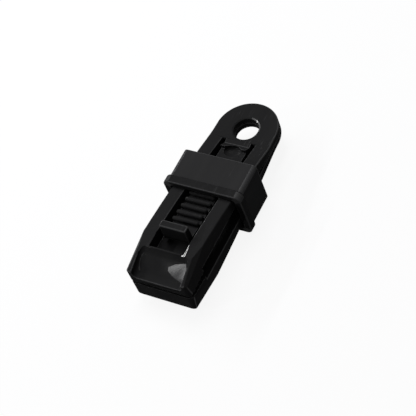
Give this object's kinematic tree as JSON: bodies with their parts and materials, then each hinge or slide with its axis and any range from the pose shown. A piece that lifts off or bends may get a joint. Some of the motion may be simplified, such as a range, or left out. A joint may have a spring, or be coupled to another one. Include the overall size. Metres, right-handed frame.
{
  "type": "tarp clip",
  "caption": "Flat toothed clamp with a cord eyelet, closed by a collar that slides along its wedge-shaped arms and is held by a ridged release tongue.",
  "frame": {"origin": "centre of the cord hole, on the parting plane of the two eyelet halves", "axes": "+Z along the cord hole, up through the upper arm; +Y from the jaws to the eyelet; +X across the clip"},
  "size_m": [0.032, 0.0856, 0.0251],
  "materials": {
    "moulded_body": "fine-grained satin black moulding, faint flow marks, polished edges",
    "collar": "fine-grained satin black moulding with rounded corners"
  },
  "bodies": {
    "lower_body": {"lower_arm": "moulded_body", "hinge_web": "moulded_body"},
    "upper_body": {"upper_arm": "moulded_body"},
    "tongue_body": {"tongue": "moulded_body"},
    "collar_body": {"collar": "collar"}
  },
  "joints": [
    {"name": "collar_slide", "type": "slide", "parent": "lower_body", "child": "collar_body", "axis": [0, 0.9914, 0.1307], "range_m": [-0.0024, 0.0225]},
    {"name": "jaw_hinge", "type": "hinge", "parent": "lower_body", "child": "upper_body", "pos_m": [0, 0.0123, 0], "axis": [-1, 0, 0], "range_deg": [-0.8, 7.1]},
    {"name": "tongue_press", "type": "hinge", "parent": "upper_body", "child": "tongue_body", "pos_m": [0, -0.0062, 0.00155], "axis": [1, 0, 0], "range_deg": [0, 1.3], "stiffness_Nm_per_rad": 0.93}
  ],
  "couplings": [
    {"joint": "jaw_hinge", "follows": "collar_slide", "rad_per_m": 5.45}
  ]
}
